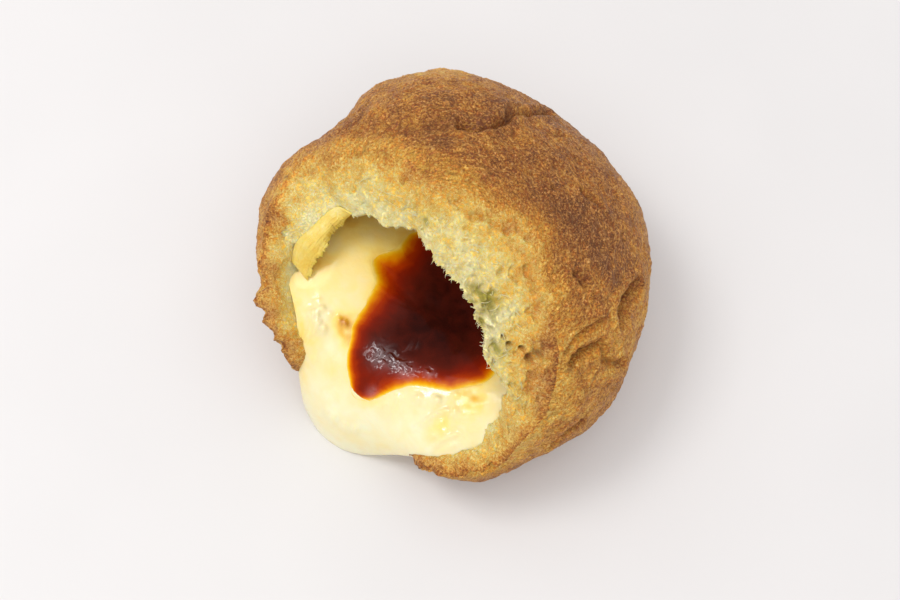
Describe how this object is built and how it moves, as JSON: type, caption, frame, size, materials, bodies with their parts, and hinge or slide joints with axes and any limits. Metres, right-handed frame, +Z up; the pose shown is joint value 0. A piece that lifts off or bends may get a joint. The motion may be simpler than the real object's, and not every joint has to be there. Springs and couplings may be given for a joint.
{
  "type": "cream puff",
  "caption": "Round choux bun torn open at its upper front left, filled with pale custard that runs over the low wall, with a dark caramel pool in the hollow.",
  "frame": {"origin": "the middle of the bounding box's underside, on the surface that the puff stands on", "axes": "+Z up; -Y to the front, which is the side the tear faces; +X to the right as seen from the front"},
  "size_m": [0.088, 0.0908, 0.0559],
  "materials": {
    "choux": "dry, finely wrinkled golden-brown crust with pale porous crumb at the tear",
    "custard": "smooth, moist, pale yellow",
    "caramel": "wet gloss, dark red-brown"
  },
  "bodies": {
    "root": {"choux_shell": "choux", "custard_filling": "custard", "caramel_sauce": "caramel"}
  },
  "joints": []
}
